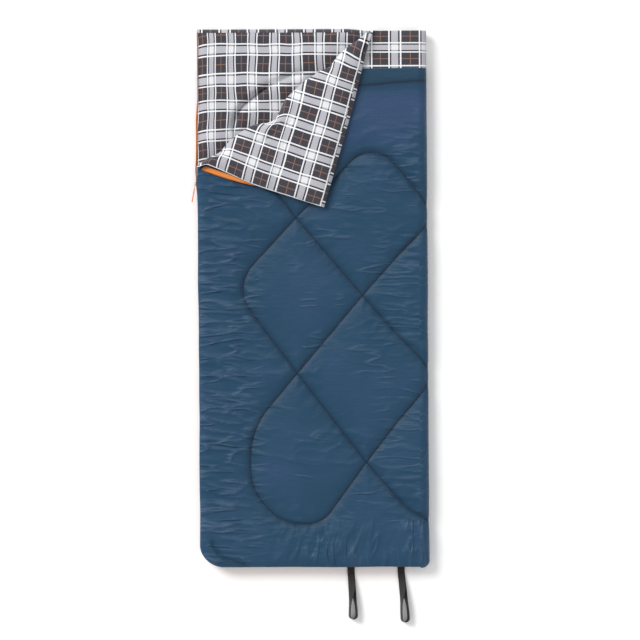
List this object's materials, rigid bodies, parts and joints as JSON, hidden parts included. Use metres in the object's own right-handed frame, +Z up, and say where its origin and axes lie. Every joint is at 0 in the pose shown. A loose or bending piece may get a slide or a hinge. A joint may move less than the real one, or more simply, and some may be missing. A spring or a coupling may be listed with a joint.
{
  "type": "rectangular sleeping bag",
  "caption": "Rectangular quilted sleeping bag lying flat, with plaid lining, an L-shaped side zip, one head corner turned back over the cover and webbing loops at the foot.",
  "frame": {"origin": "middle of the whole object's outline, on the floor it lies on", "axes": "+X towards the folded side, +Y towards the head, +Z up"},
  "size_m": [0.8181, 2.0894, 0.0894],
  "materials": {
    "shell_cloth": "satin",
    "hem_cloth": "satin",
    "plaid_cloth": "matte",
    "batting": "matte",
    "thread": "satin",
    "zip_tape": "matte",
    "zip_coil": "satin",
    "metal": "satin",
    "grip": "matte",
    "webbing": "matte"
  },
  "bodies": {
    "base": {"base_shell": "shell_cloth", "base_hem_band": "hem_cloth", "base_collar": "plaid_cloth", "base_batting": "batting", "base_lining": "plaid_cloth", "base_side_fold": "shell_cloth", "base_quilt_thread": "thread", "base_zip_tape": "zip_tape", "base_zip_coil": "zip_coil", "base_zip_stop": "metal", "zip_retainer_box": "metal", "loop_left_root": "webbing", "loop_right_root": "webbing"},
    "cover": {"cover_shell": "shell_cloth", "cover_hem_band": "hem_cloth", "cover_collar": "plaid_cloth", "cover_batting": "batting", "cover_lining": "plaid_cloth", "cover_side_fold": "shell_cloth", "cover_quilt_thread": "thread", "cover_zip_tape": "zip_tape", "cover_zip_coil": "zip_coil", "zip_insertion_pin": "metal"},
    "corner_flap": {"flap_shell": "shell_cloth", "flap_hem_band": "hem_cloth", "flap_collar": "plaid_cloth", "flap_batting": "batting", "flap_lining": "plaid_cloth", "flap_quilt_thread": "thread", "flap_zip_tape": "zip_tape", "flap_zip_coil": "zip_coil", "flap_zip_stop": "metal"},
    "slider": {"zip_slider": "metal"},
    "pull": {"zip_pull_tab": "metal", "zip_pull_grip": "grip"},
    "left_loop": {"loop_left": "webbing"},
    "right_loop": {"loop_right": "webbing"}
  },
  "joints": [
    {"name": "cover_open", "type": "hinge", "parent": "base", "child": "cover", "pos_m": [0.4095, 0.095, 0.031], "axis": [0, 1, 0], "range_deg": [0, 180]},
    {"name": "corner_fold", "type": "hinge", "parent": "cover", "child": "corner_flap", "pos_m": [-0.076, 0.8015, 0.0625], "axis": [-0.7912, -0.6116, 0], "range_deg": [0, 180]},
    {"name": "slider_travel", "type": "slide", "parent": "base", "child": "slider", "axis": [0, 1, 0], "range_m": [-1.25, 0.49]},
    {"name": "pull_swing", "type": "hinge", "parent": "slider", "child": "pull", "pos_m": [-0.3961, 0.503, 0.031], "axis": [0, 0, -1], "range_deg": [-8, 150]},
    {"name": "left_loop_lift", "type": "hinge", "parent": "base", "child": "left_loop", "pos_m": [0.144, -0.8632, 0.0064], "axis": [-1, 0, 0], "range_deg": [0, 80]},
    {"name": "right_loop_lift", "type": "hinge", "parent": "base", "child": "right_loop", "pos_m": [0.32, -0.8632, 0.0064], "axis": [-1, 0, 0], "range_deg": [0, 80]}
  ]
}
